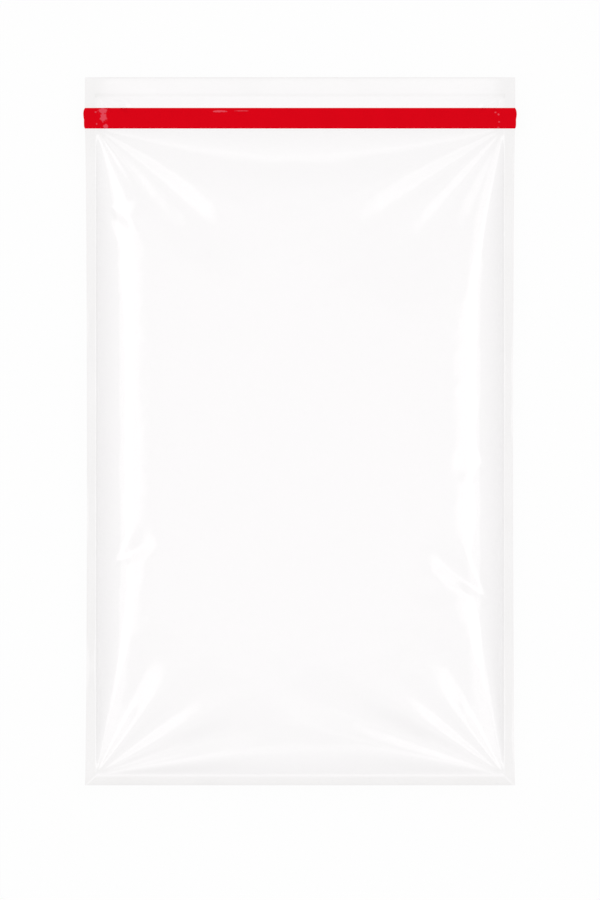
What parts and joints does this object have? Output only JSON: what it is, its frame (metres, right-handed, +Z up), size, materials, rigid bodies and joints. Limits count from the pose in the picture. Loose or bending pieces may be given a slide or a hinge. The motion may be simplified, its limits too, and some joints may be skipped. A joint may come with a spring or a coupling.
{
  "type": "cellophane bag",
  "caption": "Flat clear film bag, heat-sealed round its edges and lightly filled with air, with a red closing tape across the front below the top seal.",
  "frame": {"origin": "on the table, under the middle of the bag's outline", "axes": "+X across the bag, +Y along it towards the taped end, +Z up out of the front"},
  "size_m": [0.2008, 0.329, 0.021],
  "materials": {
    "film": "clear glossy film",
    "tape": "red satin tape"
  },
  "bodies": {
    "root": {"film_bag": "film", "red_tape": "tape"}
  },
  "joints": []
}
